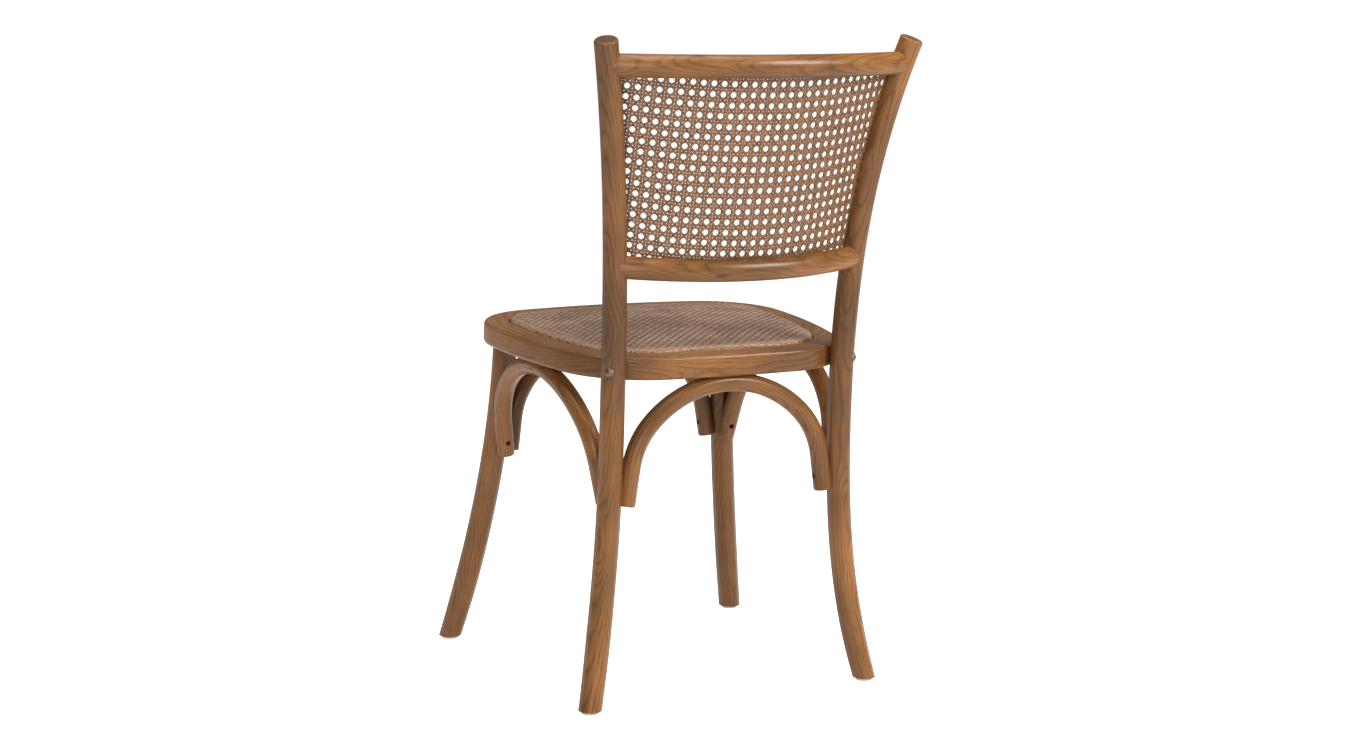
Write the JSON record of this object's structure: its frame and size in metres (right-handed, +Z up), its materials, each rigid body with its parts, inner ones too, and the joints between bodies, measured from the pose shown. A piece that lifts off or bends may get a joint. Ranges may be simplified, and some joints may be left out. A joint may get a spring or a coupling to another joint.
{
  "type": "dining chair",
  "caption": "Bentwood dining chair with bowed cane back between raked posts, woven rattan seat in a bent ring, and curved braces under the seat.",
  "frame": {"origin": "on the floor, under the middle of the chair's bounding box", "axes": "+Z up, the sitter faces -Y, +X is the sitter's left"},
  "size_m": [0.4868, 0.56, 0.8848],
  "materials": {
    "stained_wood": "stained open-grained wood under satin lacquer",
    "plywood": "raw wood, sanded",
    "cane": "open woven cane, stained and lacquered",
    "woven_rattan": "tight diagonal weave of split rattan, satin",
    "bronze": "dark bronze",
    "screw_steel": "blackened steel",
    "glide_plastic": "matte, off-white"
  },
  "bodies": {
    "root": {"arch_end_screws": "screw_steel", "arch_top_screws": "screw_steel", "back_lower_rail": "stained_wood", "back_top_rail": "stained_wood", "cane_panel": "cane", "front_arch": "stained_wood", "front_leg_left": "stained_wood", "front_leg_right": "stained_wood", "glide_front_left": "glide_plastic", "glide_front_right": "glide_plastic", "glide_nails": "screw_steel", "glide_rear_left": "glide_plastic", "glide_rear_right": "glide_plastic", "left_arch": "stained_wood", "rail_dowels": "plywood", "rear_arch": "stained_wood", "rear_post_left": "stained_wood", "rear_post_right": "stained_wood", "right_arch": "stained_wood", "seat_board": "plywood", "seat_board_screws": "screw_steel", "seat_bolt_nuts": "screw_steel", "seat_bolt_washers": "screw_steel", "seat_bolts": "bronze", "seat_ring": "stained_wood", "woven_seat": "woven_rattan"}
  },
  "joints": []
}
